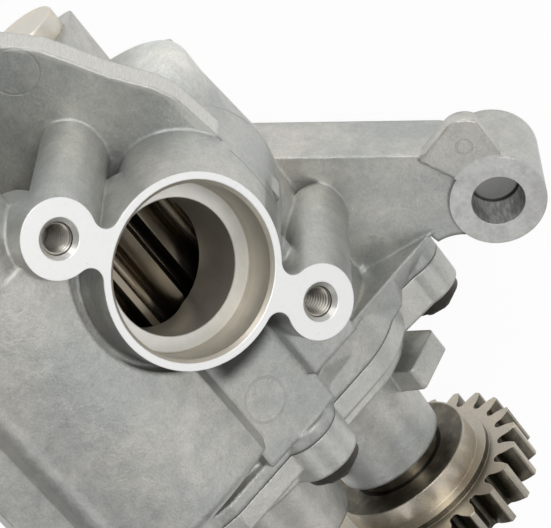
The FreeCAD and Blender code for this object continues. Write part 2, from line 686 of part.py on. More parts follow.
def drive_gear():
    web_x = GEAR_X - GEAR_WEB_T
    g = fuse_all([gear_solid(GEAR_MODULE, GEAR_TEETH, 1.25, 0.1, GEAR_X, GEAR_END_X),
                  rod(GEAR_WEB_R, web_x, GEAR_END_X - 1.0),
                  rod(GEAR_HUB_R, HUB_X, GEAR_END_X - 1.0)])
    key_way = box(HUB_X - 1.0, GEAR_END_X + 1.0, 0.0, NOSE_R - KEY_SUNK + KEY_H, -KEY_W / 2.0, KEY_W / 2.0)
    return g.cut([rod(NOSE_R, HUB_X - 1.0, GEAR_END_X + 1.0), key_way])


def gear_washer():
    hole = rod(THREAD_R + WASHER_RUN, GEAR_X, GEAR_END_X + 2.0 * WASHER_T)
    return rod(WASHER_R, GEAR_END_X, GEAR_END_X + WASHER_T).cut(hole)


def gear_nut():
    x0 = GEAR_END_X + WASHER_T
    return hexagon(NUT_ACROSS, x0, x0 + NUT_T).cut(rod(THREAD_R, GEAR_X, x0 + 2.0 * NUT_T))


def rotor_blank():
    return gear_solid(ROTOR_MODULE, ROTOR_TEETH, 1.25, ROTOR_BACKLASH, ROTOR_X0, ROTOR_X1)


def driving_rotor():
    way = box(ROTOR_X0 - 1.0, ROTOR_KEY_X + ROTOR_KEY_LEN, 0.0, SHAFT_R - KEY_SUNK + KEY_H,
              -KEY_W / 2.0, KEY_W / 2.0)
    return rotor_blank().cut([rod(SHAFT_R, ROTOR_X0 - 1.0, ROTOR_X1 + 1.0), way])


def driven_rotor():
    blank = turned(rotor_blank(), mesh_turn())
    blank = blank.cut(rod(ROTOR_BUSH_R, ROTOR_X0 - 1.0, ROTOR_X1 + 1.0))
    return moved(blank, 0.0, DRIVEN_Y, DRIVEN_Z)


def mesh_turn():
    """Turn of the driven rotor that puts a gap opposite the driving rotor's tooth."""
    line = math.degrees(math.atan2(DRIVEN_Z, DRIVEN_Y))
    pitch = 360.0 / ROTOR_TEETH
    phase = line % pitch
    return line + 180.0 + phase + pitch / 2.0


def tube_x(r_out, r_in, x0, x1, y=0.0, z=0.0):
    return rod(r_out, x0, x1, y, z).cut(rod(r_in, x0 - 1.0, x1 + 1.0, y, z))


def body_bush():
    return tube_x(BUSH_R, SHAFT_R + SHAFT_RUN, BODY_BUSH_X, CHAMBER_BACK_X)


def cover_bush():
    return tube_x(BUSH_R, SHAFT_R + SHAFT_RUN, JOINT_X, JOINT_X + COVER_BUSH_LEN)


def rotor_bush():
    return tube_x(ROTOR_BUSH_R, PIN_R + SHAFT_RUN, ROTOR_X0, ROTOR_X1, DRIVEN_Y, DRIVEN_Z)


def idler_pin():
    return rod(PIN_R, PIN_BACK_X, JOINT_X + PIN_IN_COVER, DRIVEN_Y, DRIVEN_Z)


def ear_sleeve():
    sleeve = post(SLEEVE_R, EAR_BASE_Z, EAR_BASE_Z + SLEEVE_LEN, EAR_X, EAR_Y)
    inside = post(SLEEVE_R - SLEEVE_WALL, EAR_BASE_Z - 1.0, EAR_BASE_Z + SLEEVE_LEN + 1.0, EAR_X, EAR_Y)
    return sleeve.cut(inside)


# Relief valve
def relief_piston():
    p = rod(PISTON_R, PISTON_X, RELIEF_SEAT_X, RELIEF_Y, RELIEF_Z)
    p = try_fillet(p, 0.5, lambda e: abs(e.CenterOfMass.x - RELIEF_SEAT_X) < 0.01)
    return p.cut(rod(PISTON_CUP_R, PISTON_X - 1.0, PISTON_FLOOR_X, RELIEF_Y, RELIEF_Z))


def relief_spring():
    x0 = CAP_IN_X + SPRING_WIRE_R
    x1 = PISTON_FLOOR_X - SPRING_WIRE_R
    length = x1 - x0
    helix = Part.makeHelix(length / SPRING_TURNS, length, SPRING_R)
    wire = Part.Wire([Part.makeCircle(SPRING_WIRE_R, V(SPRING_R, 0, 0), V(0, 1, 0))])
    coil = Part.Wire(helix.Edges).makePipeShell([wire], True, True)
    coil.rotate(V(0, 0, 0), Y, 90.0)
    return moved(coil, x0, RELIEF_Y, RELIEF_Z)


def relief_cap():
    head = rod(CAP_R, RELIEF_BACK_X - CAP_HEAD_T, RELIEF_BACK_X, RELIEF_Y, RELIEF_Z)
    head = try_fillet(head, 0.8, lambda e: abs(e.CenterOfMass.x - RELIEF_BACK_X + CAP_HEAD_T) < 0.01)
    return fuse_all([head, rod(PISTON_R + PISTON_RUN, RELIEF_BACK_X - 1.0, CAP_IN_X, RELIEF_Y, RELIEF_Z)])


NODES = {"pump_body": pump_body, "pump_cover": pump_cover, "cover_bolts": cover_bolts,
         "cover_dowels": cover_dowels, "drive_shaft": drive_shaft, "drive_gear": drive_gear,
         "gear_key": gear_key, "gear_washer": gear_washer, "gear_nut": gear_nut,
         "rotor_key": rotor_key, "driving_rotor": driving_rotor, "driven_rotor": driven_rotor,
         "rotor_bush": rotor_bush, "idler_pin": idler_pin, "body_bush": body_bush, "cover_bush": cover_bush,
         "ear_sleeve": ear_sleeve, "relief_piston": relief_piston, "relief_spring": relief_spring,
         "relief_cap": relief_cap}


def main():
    os.makedirs("parts", exist_ok=True)
    for name, make in NODES.items():
        shape = make()
        shape.translate(V(-OUTLET_X, -OUTLET_Y, -FLOOR_Z))
        shape.exportStep("parts/" + name + ".step")


main()
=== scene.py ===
import json
import math
from collections import namedtuple
from functools import reduce
from operator import add, mul

import bpy
import numpy as np
from bpy.props import FloatProperty, FloatVectorProperty, IntProperty, PointerProperty
from mathutils import Matrix, Vector


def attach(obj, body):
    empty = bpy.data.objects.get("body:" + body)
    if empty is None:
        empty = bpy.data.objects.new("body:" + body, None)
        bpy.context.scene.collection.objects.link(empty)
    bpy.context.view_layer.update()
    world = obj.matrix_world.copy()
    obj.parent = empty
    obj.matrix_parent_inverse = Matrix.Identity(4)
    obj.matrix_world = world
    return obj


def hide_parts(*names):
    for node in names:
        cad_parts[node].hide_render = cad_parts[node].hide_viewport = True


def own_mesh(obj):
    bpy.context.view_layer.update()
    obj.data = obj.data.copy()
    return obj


bl_info = {
    "name": "Engine Oil Pump Finish",
    "version": (1, 0, 0),
    "blender": (4, 5, 0),
    "location": "3D View > Sidebar > Oil Pump",
    "description": "Cast, machined and sintered finishes, lug threads and studio for an engine oil pump",
    "category": "Object",
}

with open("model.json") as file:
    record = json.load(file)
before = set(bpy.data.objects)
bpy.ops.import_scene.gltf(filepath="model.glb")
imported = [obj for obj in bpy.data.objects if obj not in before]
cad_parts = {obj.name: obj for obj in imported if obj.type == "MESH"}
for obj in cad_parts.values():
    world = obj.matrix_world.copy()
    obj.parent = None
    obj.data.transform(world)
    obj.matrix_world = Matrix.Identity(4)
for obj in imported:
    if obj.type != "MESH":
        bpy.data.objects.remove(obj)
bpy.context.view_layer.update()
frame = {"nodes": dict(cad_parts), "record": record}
MM = 1000.0  # millimetres in a metre
FULL_TURN = 2.0 * math.pi

Mount = namedtuple("Mount", "place axis sizes")


def mount(name):
    """Place in millimetres, direction and sizes of one of the record's mounts."""
    found = next(m for m in frame["record"]["mounts"] if m["name"] == name)
    return Mount(Vector(found["pos_m"]) * MM, Vector(found["axis"]).normalized(), found["dims"])


# Places on the pump, in millimetres. The port's own directions start at the middle of its milled face.
SEAT = mount("suction_seat")
PORT_AXIS = SEAT.axis
PORT = SEAT.place + PORT_AXIS * (mount("suction_face").place - SEAT.place).dot(PORT_AXIS)
ALONG = Vector((1.0, 0.0, 0.0))
ACROSS = ALONG.cross(PORT_AXIS) * -1.0
EAR = Vector((*mount("ear_hole").place.xy, mount("ear_face").place.z))
GEAR_MIDDLE = mount("gear_mesh").place
LUG_HOLES = {"left": mount("suction_screw_left"), "right": mount("suction_screw_right")}
LUG_SINK = 1.2  # depth of a lug's countersink
SINK_RADIUS = (5.6, 5.3)
JOINT_X, JOINT_HALF = 42.0, 0.16  # plane where the cover meets the body, and half the hairline's width
COVER_FLANGE_X = (52.8, 52.2)

# Side of the flange plate: the lowest of the lines y = slope * x + rise, outside the port's column.
PLATE_TOP = 65.2
PLATE_LINES = ((1.125, 119.85), (0.703, 85.25), (0.1316, 53.97))
PLATE_SKIN = (-2.6, -1.8)
COLUMN_RADIUS = (24.6, 25.2)

# Flash line on the port's column: z = top - bend * (x - middle) squared.
FLASH_TOP, FLASH_BEND, FLASH_MIDDLE, FLASH_HALF = 70.4, 0.0215, -24.0, 0.22

# A patch is a list of limits: a coordinate of Spot, its value where the patch ends and where it is full.
# Three patches paint light and shade into the casting's colour by their share: a painted shadow in the nook under
# the port ring and painted shade on the plate's corner darken it, a painted highlight on the dome lightens it.
PLATE_SIDE = (("z", 57.0, 57.4), ("z", 65.5, 65.0), ("x", -14.0, -15.0))
FLASH_REACH = (("y", 49.0, 50.0), ("x", -35.0, -34.0), ("x", -11.0, -13.0))
# Painted shadow in the nook under the port ring.
NOOK_PAINTED_SHADOW = (("radius", 38.5, 33.5), ("down", 3.0, 9.0), ("along", 20.0, 27.0),
        ("across", -12.0, -5.0), ("across", 13.5, 8.5))
# Painted shade on the corner of the flange plate.
CORNER_PAINTED_SHADE = (("x", -22.0, -21.0), ("x", -13.0, -14.0), ("y", 50.2, 51.0), ("z", 64.7, 65.1))
# Painted highlight on the dome behind the plate.
DOME_PAINTED_HIGHLIGHT = (("z", 57.0, 55.5), ("y", 30.0, 38.0), ("x", -80.0, -72.0), ("x", -38.0, -56.0))
NOOK_SHADOW_SHARE, CORNER_SHADE_SHARE, DOME_HIGHLIGHT_SHARE = 0.90, 0.30, 0.55
UNDER_FACE = (("down", 0.1, 0.16),)
SEAT_CUT = (("radius", 22.7, 22.5), ("down", 11.6, 11.4)) + UNDER_FACE
SEAT_WALL = (("radius", 21.0, 21.3),)
PIPE_CUT = (("radius", 17.5, 17.3), ("down", 31.0, 30.6)) + UNDER_FACE
EAR_ROUND = (("ear", 14.2, 13.8),)
EAR_BORE = (("ear", 8.0, 7.8),)
FOOT_CUT = (("z", 0.3, 0.1),)
FACE_HALF = 0.16  # half thickness of the layer that counts as a milled face

# Feet of the push-out pins: coordinates and middle, radius, then the level and how far from it the mark shows.
PIN_GROOVE = 0.28
PIN_FEET = (
    (("along", "across"), (46.9, -2.5), 6.0, "down", 16.6, 1.2),
    (("x", "y"), (-81.0, 18.7), 6.2, "z", PLATE_TOP, 1.0),
    (("x", "y"), (12.4, 92.6), 2.1, "z", EAR.z, 1.0),
)

# Radii on the drive gear: where a zone is 0 and where it is full.
GEAR_TIP = (33.1, 33.5)
GEAR_HUB = (23.2, 22.8)
# Inside HUB_FACE the hub's flat face keeps the dark colour, as painted shade.
HUB_FACE = (21.9, 21.4)
# Painted shade in the tooth roots, between these radii.
ROOT_OUTER, ROOT_INNER = (32.5, 28.5), (24.0, 26.0)
# Painted shade in a ring round the shaft, at this radius.
SHAFT_GAP, SHAFT_GAP_HALF = 14.0, 0.5

# Threads: where the crest starts, in shares of the ridge's height, and how far from an axis a hole still counts.
CREST_START, CREST_FULL = 0.10, 0.75
HOLE_REACH = (8.0, 6.0)


class Sock:
    """A shader socket written in sums; numbers and triples may stand on the other side."""

    def __init__(self, graph, out):
        self.graph = graph
        self.out = out

    def wide(self):
        return self.out.type in ("VECTOR", "RGBA")

    def _do(self, op, other=None, flip=False):
        pair = [self] if other is None else ([other, self] if flip else [self, other])
        wide = [isinstance(p, (tuple, Vector)) or (isinstance(p, Sock) and p.wide()) for p in pair]
        if not any(wide):
            return self.graph.node("ShaderNodeMath", {"operation": op}, dict(enumerate(pair)))
        if op == "MULTIPLY" and not all(wide):
            vector, scale = (pair[0], pair[1]) if wide[0] else (pair[1], pair[0])
            return self.graph.scaled(vector, scale)
        pair = [p if w else (p, p, p) for p, w in zip(pair, wide)]
        return self.graph.node("ShaderNodeVectorMath", {"operation": op}, dict(enumerate(pair)))

    def __add__(self, other):
        return self._do("ADD", other)

    def __radd__(self, other):
        return self._do("ADD", other, True)

    def __sub__(self, other):
        return self._do("SUBTRACT", other)

    def __rsub__(self, other):
        return self._do("SUBTRACT", other, True)

    def __mul__(self, other):
        return self._do("MULTIPLY", other)

    def __rmul__(self, other):
        return self._do("MULTIPLY", other, True)

    def __pow__(self, other):
        return self._do("POWER", other)

    def __abs__(self):
        return self._do("ABSOLUTE")

    def low(self, other):
        return self._do("MINIMUM", other)

    def high(self, other):
        return self._do("MAXIMUM", other)

    def dot(self, other):
        return self.graph.node("ShaderNodeVectorMath", {"operation": "DOT_PRODUCT"}, {0: self, 1: other}, "Value")

    def length(self):
        return self.graph.node("ShaderNodeVectorMath", {"operation": "LENGTH"}, {0: self}, "Value")

    def ease(self, start, end):
        """0 before start, 1 past end, eased between; start may be the larger."""
        return self.graph.node("ShaderNodeMapRange", {"interpolation_type": "SMOOTHSTEP"},
                               {"Value": self, "From Min": start, "From Max": end})

    def near(self, value, half):
        """1 where the socket is within half of value, softened by 15 percent of it."""
        return abs(self - value).ease(half * 1.15, half * 0.85)


class Graph:
    """The nodes of a new material or world, with one method for making any of them."""

    def __init__(self, owner):
        self.owner = owner
        owner.use_nodes = True
        self.tree = owner.node_tree
        self.tree.nodes.clear()

    def node(self, kind, settings=None, inputs=None, out=0):
        made = self.tree.nodes.new(kind)
        for key, value in (settings or {}).items():
            setattr(made, key, value)
        for key, value in (inputs or {}).items():
            if isinstance(value, Sock):
                self.tree.links.new(value.out, made.inputs[key])
            elif made.inputs[key].type == "RGBA":
                made.inputs[key].default_value = (*value, 1.0)
            else:
                made.inputs[key].default_value = value
        return Sock(self, made.outputs[out]) if made.outputs else made

    def millimetres(self):
        """Place on the piece, in millimetres of the frame."""
        return self.node("ShaderNodeTexCoord", out="Object") * MM

    def parts(self, vector):
        """The three numbers of a vector."""
        split = self.node("ShaderNodeSeparateXYZ", None, {0: vector}).out.node
        return [Sock(self, o) for o in split.outputs]

    def scaled(self, vector, scale):
        """A vector times a number."""
        return self.node("ShaderNodeVectorMath", {"operation": "SCALE"}, {0: vector, "Scale": scale})

    def off_axis(self, place, hole):
        """Distance of a place from the axis of a hole."""
        off = place - hole.place
        return (off - self.scaled(hole.axis, off.dot(hole.axis))).length()

    def noise(self, place, size, detail, rough, warp=0.0):
        """Noise from 0 to 1 whose marks are about size millimetres."""
        return self.node("ShaderNodeTexNoise", None,
                         {"Vector": place, "Scale": 1.0 / size, "Detail": detail, "Roughness": rough,
                          "Distortion": warp}, "Fac")

    def mix(self, share, a, b):
        """Colour a where share is 0, b where it is 1."""
        return self.node("ShaderNodeMix", {"data_type": "RGBA"}, {0: share, 6: a, 7: b}, 2)

    def blend(self, share, a, b):
        """Vector a where share is 0, b where it is 1."""
        return self.node("ShaderNodeMix", {"data_type": "VECTOR"}, {0: share, 4: a, 5: b}, 1)

    def rounded(self, radius_mm):
        """Normal that rolls round every edge at this radius."""
        return self.node("ShaderNodeBevel", {"samples": 6}, {"Radius": radius_mm / MM})

    def bump(self, height_mm, normal):
        """Normal of a relief given in millimetres, on top of another normal."""
        return self.node("ShaderNodeBump", None,
                         {"Height": height_mm, "Distance": 1.0 / MM, "Strength": 1.0, "Normal": normal})

    def ray(self, kind):
        """1 for rays of one kind."""
        return self.node("ShaderNodeLightPath", out=kind)

    def metal(self, colour, roughness, metallic, normal=None):
        """Close a material with its shader, and return it."""
        inputs = {"Base Color": colour, "Roughness": roughness, "Metallic": metallic}
        if normal is not None:
            inputs["Normal"] = normal
        shader = self.node("ShaderNodeBsdfPrincipled", None, inputs)
        self.node("ShaderNodeOutputMaterial", None, {"Surface": shader})
        return self.owner


class Spot:
    """Where a point of the surface lies, in millimetres.

    x, y and z are the frame's; along, across, down and radius are counted from the port's face and axis;
    ear is the distance from the axis of the mounting ear.
    """

    def __init__(self, graph):
        self.place = graph.millimetres()
        self.x, self.y, self.z = graph.parts(self.place)
        from_port = self.place - PORT
        self.along = from_port.dot(ALONG)
        self.across = from_port.dot(ACROSS)
        self.down = from_port.dot(-PORT_AXIS)
        self.radius = round_of(self.along, self.across)
        self.ear = round_of(self.x - EAR.x, self.y - EAR.y)


def new_material(name):
    """Empty nodes of a new material."""
    return Graph(bpy.data.materials.new(name))


def round_of(a, b):
    """Distance from the middle for two offsets."""
    return (a * a + b * b) ** 0.5


def highest(masks):
    """The highest of several masks at each point."""
    return reduce(Sock.high, masks)


def patch(spot, limits):
    """1 where a spot lies inside every limit of a patch."""
    return reduce(mul, [getattr(spot, name).ease(end, full) for name, end, full in limits])


def cast_skin(graph, place, look):
    """Colour, roughness and relief of as-cast aluminium: warm and cool drifts, flow marks, stains, fine grain."""
    drift = graph.noise(place, 30.0, detail=3.0, rough=0.5, warp=0.4)
    cloud = graph.noise(place, 5.0, detail=6.0, rough=0.65, warp=0.3)
    fleck = graph.noise(place, 1.6, detail=3.0, rough=0.7)
    grain = graph.noise(place, 0.55, detail=2.0, rough=0.6)
    stain = graph.noise(place, 9.0, detail=5.0, rough=0.7, warp=1.2).ease(0.54, 0.76)
    shade = 0.87 + 0.12 * cloud.ease(0.25, 0.75) + 0.24 * (fleck - 0.5) + 0.44 * (grain - 0.5)
    colour = graph.mix((drift * 0.7 + cloud * 0.3).ease(0.36, 0.68), look.cool, look.warm) * shade
    colour = graph.mix(stain * 0.42, colour, look.stain)
    roughness = look.roughness + 0.16 * (cloud - 0.5) + 0.06 * stain
    relief = (grain - 0.5) * 0.045 + (fleck - 0.5) * 0.070 + (cloud - 0.5) * 0.22
    return colour, roughness, relief


def plate_rim(spot):
    """1 on the trimmed side of the flange plate."""
    outline = reduce(Sock.low, [slope * spot.x + rise for slope, rise in PLATE_LINES])
    column = round_of(spot.x - PORT.x, (spot.y - PORT.y) * (1.0 / PORT_AXIS.z))
    return patch(spot, PLATE_SIDE) * (spot.y - outline).ease(*PLATE_SKIN) * column.ease(*COLUMN_RADIUS)


def flash_line(spot):
    """1 on the thin line that the die's parting leaves on the port's column."""
    off = spot.x - FLASH_MIDDLE
    return (spot.z - FLASH_TOP + FLASH_BEND * off * off).near(0.0, FLASH_HALF) * patch(spot, FLASH_REACH)


def pin_marks(spot):
    """1 in the thin round grooves that the push-out pins leave."""
    rings = []
    for names, middle, radius, level, height, half in PIN_FEET:
        a, b = [getattr(spot, name) - value for name, value in zip(names, middle)]
        rings.append(round_of(a, b).near(radius, PIN_GROOVE) * getattr(spot, level).near(height, half))
    return reduce(add, rings)


def joint_line(x):
    """1 in the hairline where the cover meets the body."""
    return x.near(JOINT_X, JOINT_HALF)


def cast_marks(g, spot, look, colour, relief):
    """Colour and relief of the skin with its trimmed rim, flash line, painted shade and highlight, pin feet and
    joint.
    """
    rim = plate_rim(spot)
    scratch = g.noise(spot.place * (1.0, 1.0, 0.10), 0.30, detail=3.0, rough=0.7)
    colour = g.mix(rim * 0.8, colour, g.mix(scratch.ease(0.3, 0.75), look.trim_dark, look.trim))
    relief = relief * (1.0 - 0.5 * rim) + rim * scratch * 0.03

    flash = flash_line(spot)
    colour = g.mix(flash * 0.65, colour, look.seam)
    # Painted shadow in the nook under the port ring, and painted shade on the corner of the flange plate.
    colour = colour * (1.0 - NOOK_SHADOW_SHARE * patch(spot, NOOK_PAINTED_SHADOW)) * (1.0 - CORNER_SHADE_SHARE * patch(spot, CORNER_PAINTED_SHADE))
    # Painted highlight on the dome behind the plate.
    colour = colour * (1.0 + DOME_HIGHLIGHT_SHARE * patch(spot, DOME_PAINTED_HIGHLIGHT))

    pins = pin_marks(spot)
    seam = joint_line(spot.x)
    colour = g.mix(pins * 0.25, colour, look.stain)
    colour = g.mix(seam * 0.7, colour, look.seam)
    return colour, relief - flash * 0.10 - pins * 0.12 - seam * 0.15


def body_casting(look, cut):
    """Die-cast body: its skin and marks, then the milled face, seat, bore, ear, foot and lug holes."""
    g = new_material("body_casting")
    spot = Spot(g)
    p = spot.place
    colour, roughness, relief = cast_skin(g, p, look)
    colour, relief = cast_marks(g, spot, look, colour, relief)

    face = spot.down.near(0.0, FACE_HALF)
    pipe = patch(spot, PIPE_CUT)
    mouth = patch(spot, SEAT_CUT)
    wall = patch(spot, SEAT_WALL) * mouth
    seat = mouth.high(pipe)
    ear_face = spot.z.near(EAR.z, FACE_HALF) * patch(spot, EAR_ROUND)
    ear_bore = patch(spot, EAR_BORE) * (1.0 - ear_face)
    foot = patch(spot, FOOT_CUT)
    cut_all = highest([face, seat, ear_face, ear_bore, foot])

    mill = g.noise(p * (1.0, 0.25, 0.25), 0.35, detail=3.0, rough=0.6)
    speck = g.noise(p, 2.2, detail=4.0, rough=0.75).ease(0.62, 0.72)
    bright = g.mix(speck * 0.5, cut.face, cut.speck) * (0.94 + 0.10 * mill)
    colour = g.mix(face.high(foot), colour, bright)

    turned_place = g.node("ShaderNodeCombineXYZ", None, {0: spot.radius, 1: spot.down})
    rings = g.noise(turned_place, 0.4, detail=3.0, rough=0.7)
    patina = g.noise(p, 5.0, detail=5.0, rough=0.65)
    turned = g.mix(pipe, g.mix(wall, cut.seat, cut.wall), cut.pipe)
    colour = g.mix(seat, colour, turned * (0.70 + 0.34 * rings + 0.26 * patina))

    ear_speck = g.noise(p, 1.3, detail=3.0, rough=0.7)
    ear_colour = g.mix(patina.ease(0.35, 0.65), cut.ear_dark, cut.ear) * (1.15 - 0.5 * (ear_speck - 0.3))
    colour = g.mix(ear_face, colour, ear_colour)
    streak = g.noise(p * (1.0, 1.0, 0.2), 0.9, detail=3.0, rough=0.6)
    colour = g.mix(ear_bore, colour, g.mix(streak.ease(0.35, 0.7), cut.bore_dark, cut.bore))

    below = patch(spot, UNDER_FACE)
    sink = highest([g.off_axis(p, hole).ease(*SINK_RADIUS) * below for hole in LUG_HOLES.values()])
    colour = g.mix(sink, colour, cut.sink)

    roughness = roughness * (1.0 - cut_all) + cut_all * (cut.roughness + 0.10 * mill)
    relief = relief * (1.0 - 0.92 * cut_all) + (face * mill + seat * rings) * 0.012
    edges = g.blend(cut_all.high(sink), g.rounded(look.round_cast), g.rounded(look.round_cut))
    return g.metal(colour, roughness, look.metallic, g.bump(relief, edges))


def cover_casting(look):
    """Die-cast cover: its skin, the trimmed band round its flange and the joint."""
    other_place = (40.0, 15.0, 9.0)  # so that its drifts don't run on from the body's
    g = new_material("cover_casting")
    p = g.millimetres()
    x = g.parts(p)[0]
    colour, roughness, relief = cast_skin(g, p + other_place, look)
    scratch = g.noise(p * (0.35, 1.0, 1.0), 0.6, detail=3.0, rough=0.7)
    trimmed = g.mix(scratch.ease(0.3, 0.7), look.trim_dark, look.trim)
    colour = g.mix(x.ease(*COVER_FLANGE_X) * 0.35, colour, trimmed)
    seam = joint_line(x)
    colour = g.mix(seam * 0.7, colour, look.seam)
    return g.metal(colour, roughness, look.metallic, g.bump(relief - seam * 0.15, g.rounded(look.round_cover)))


def plain_metal(name, colour, roughness, metallic, grain, spread, edge, lines=(1.0, 1.0, 1.0)):
    """Metal with fine grain, a slow change of shade and rolled edges.

    grain and edge are in millimetres, spread is the share by which the shade varies, and lines squeezes the
    grain along each axis, so that a low value draws it out into lines.
    """
    g = new_material(name)
    p = g.millimetres()
    slow = g.noise(p, 6.0, detail=3.0, rough=0.6)
    fine = g.noise(p * lines, grain, detail=3.0, rough=0.65)
    warmer = tuple(c * f for c, f in zip(colour, (1.05, 1.0, 0.93)))
    shade = 1.0 + spread * (slow - 0.5) * 2.0 + spread * (fine - 0.5) * 1.5
    return g.metal(g.mix(slow.ease(0.35, 0.65), colour, warmer) * shade, roughness + 0.12 * (fine - 0.5), metallic,
                   g.bump((fine - 0.5) * 0.02, g.rounded(edge)))


def gear_metal(look):
    """Sintered steel: tan on the flat faces and the tips, dark on the flanks, with painted shade on the hub's
    face, in the tooth roots and in a ring round the shaft.
    """
    g = new_material("sintered_steel")
    p = g.millimetres()
    y, z = g.parts(p)[1:]
    radius = round_of(y - GEAR_MIDDLE.y, z - GEAR_MIDDLE.z)
    flat = abs(g.node("ShaderNodeNewGeometry", out="Normal").dot(ALONG)).ease(0.35, 0.8)
    side = 1.0 - flat
    # The hub's flat face stays dark: painted shade.
    hub_face_painted_shade = flat * radius.ease(*HUB_FACE)
    light_part = highest([flat * (1.0 - hub_face_painted_shade), radius.ease(*GEAR_TIP) * 0.8, radius.ease(*GEAR_HUB) * side])
    # Painted shade in a ring round the shaft.
    shaft_gap_painted_shade = flat * radius.near(SHAFT_GAP, SHAFT_GAP_HALF)
    # Painted shade in the tooth roots.
    root_painted_shade = side * radius.ease(*ROOT_OUTER) * radius.ease(*ROOT_INNER)
    slow = g.noise(p, 5.0, detail=4.0, rough=0.6)
    fine = g.noise(p, 0.45, detail=3.0, rough=0.7)
    light = g.mix(slow.ease(0.35, 0.65), look.gear, look.gear_warm)
    dark = g.mix(slow.ease(0.4, 0.7), look.gear_dark, look.gear_oil)
    colour = g.mix(light_part, dark, light) * (1.0 + 0.6 * (fine - 0.5))
    # Painted shade in the tooth roots and in the ring round the shaft.
    colour = colour * (1.0 - 0.55 * root_painted_shade) * (1.0 - 0.9 * shaft_gap_painted_shade)
    roughness = look.gear_roughness + 0.18 * (fine - 0.5) - 0.08 * side
    return g.metal(colour, roughness, 1.0, g.bump((fine - 0.5) * 0.04, g.rounded(0.45)))


def thread_metal(look, depth):
    """Cut thread: bright on the crests, painted shade in the grooves, told apart by the distance from the hole's
    axis.
    """
    g = new_material("tapped_thread")
    p = g.millimetres()
    crests = []
    for hole in LUG_HOLES.values():
        distance = g.off_axis(p, hole)
        bore = hole.sizes["r_mm"]
        crest = distance.ease(bore - CREST_START * depth, bore - CREST_FULL * depth)
        crests.append(crest * distance.ease(*HOLE_REACH))
    fine = g.noise(p, 0.4, detail=2.0, rough=0.6)
    # The grooves' dark colour is painted shade.
    colour = g.mix(highest(crests), look.groove_painted_shade, look.crest) * (1.0 + 0.3 * (fine - 0.5))
    return g.metal(colour, 0.36 + 0.1 * (fine - 0.5), 0.9)


def paint(names, material):
    """Give CAD nodes a material in place of their own."""
    for name in names:
        slots = frame["nodes"][name].data.materials
        slots.clear()
        slots.append(material)


class CastingLook(bpy.types.PropertyGroup):
    cool: FloatVectorProperty(name="Cool grey", description="Bluish part of the cast skin", subtype="COLOR",
                              default=(0.445, 0.457, 0.438))
    warm: FloatVectorProperty(name="Warm grey", description="Beige part of the cast skin", subtype="COLOR",
                              default=(0.585, 0.57, 0.528))
    stain: FloatVectorProperty(name="Stain", description="Dull patches left by the die spray", subtype="COLOR",
                               default=(0.38, 0.385, 0.375))
    trim: FloatVectorProperty(name="Trimmed edge", description="Band where the flash was cut off",
                              subtype="COLOR", default=(0.74, 0.73, 0.69))
    trim_dark: FloatVectorProperty(name="Trim scratches", description="Scratches in the trimmed band",
                                   subtype="COLOR", default=(0.58, 0.57, 0.53))
    seam: FloatVectorProperty(name="Joint line", description="Dark hairline between body and cover",
                              subtype="COLOR", default=(0.10, 0.095, 0.085))
    roughness: FloatProperty(name="Roughness", description="Roughness of the cast skin",
                             default=0.40, min=0.0, max=1.0)
    metallic: FloatProperty(name="Metallic", description="How metallic the cast skin is",
                            default=0.72, min=0.0, max=1.0)
    round_cast: FloatProperty(name="Cast rounding", description="Radius of as-cast edges, in millimetres",
                              default=1.6)
    round_cut: FloatProperty(name="Cut rounding", description="Radius of machined edges, in millimetres",
                             default=0.25)
    round_cover: FloatProperty(name="Cover rounding", description="Radius of the cover's edges, in millimetres",
                               default=1.1)


class CutLook(bpy.types.PropertyGroup):
    face: FloatVectorProperty(name="Milled face", description="Freshly milled port face", subtype="COLOR",
                              default=(0.88, 0.88, 0.87))
    speck: FloatVectorProperty(name="Specks", description="Pores in the milled face", subtype="COLOR",
                               default=(0.66, 0.65, 0.62))
    seat: FloatVectorProperty(name="Seat", description="Stepped seat in the port", subtype="COLOR",
                              default=(0.74, 0.73, 0.69))
    wall: FloatVectorProperty(name="Seat wall", description="Turned wall of the port's mouth", subtype="COLOR",
                              default=(0.46, 0.425, 0.36))
    pipe: FloatVectorProperty(name="Bore", description="Bore below the seat", subtype="COLOR",
                              default=(0.41, 0.385, 0.34))
    ear: FloatVectorProperty(name="Ear face", description="Milled face of the mounting ear", subtype="COLOR",
                             default=(0.62, 0.62, 0.60))
    ear_dark: FloatVectorProperty(name="Ear face, dark", description="Darker drifts on the ear's face",
                                  subtype="COLOR", default=(0.51, 0.505, 0.49))
    bore: FloatVectorProperty(name="Ear bore", description="Bright streaks in the ear's bore", subtype="COLOR",
                              default=(0.55, 0.55, 0.53))
    bore_dark: FloatVectorProperty(name="Ear bore shade", description="Dark streaks in the ear's bore",
                                   subtype="COLOR", default=(0.30, 0.31, 0.30))
    sink: FloatVectorProperty(name="Countersink", description="Countersinks of the tapped holes",
                              subtype="COLOR", default=(0.52, 0.51, 0.48))
    crest: FloatVectorProperty(name="Thread crest", description="Crests of the tapped threads", subtype="COLOR",
                               default=(0.62, 0.59, 0.53))
    # Painted shade in the grooves of the tapped threads.
    groove_painted_shade: FloatVectorProperty(name="Thread groove", description="Grooves of the tapped threads",
                                subtype="COLOR", default=(0.045, 0.04, 0.033))
    roughness: FloatProperty(name="Roughness", description="Roughness of milled faces",
                             default=0.42, min=0.0, max=1.0)


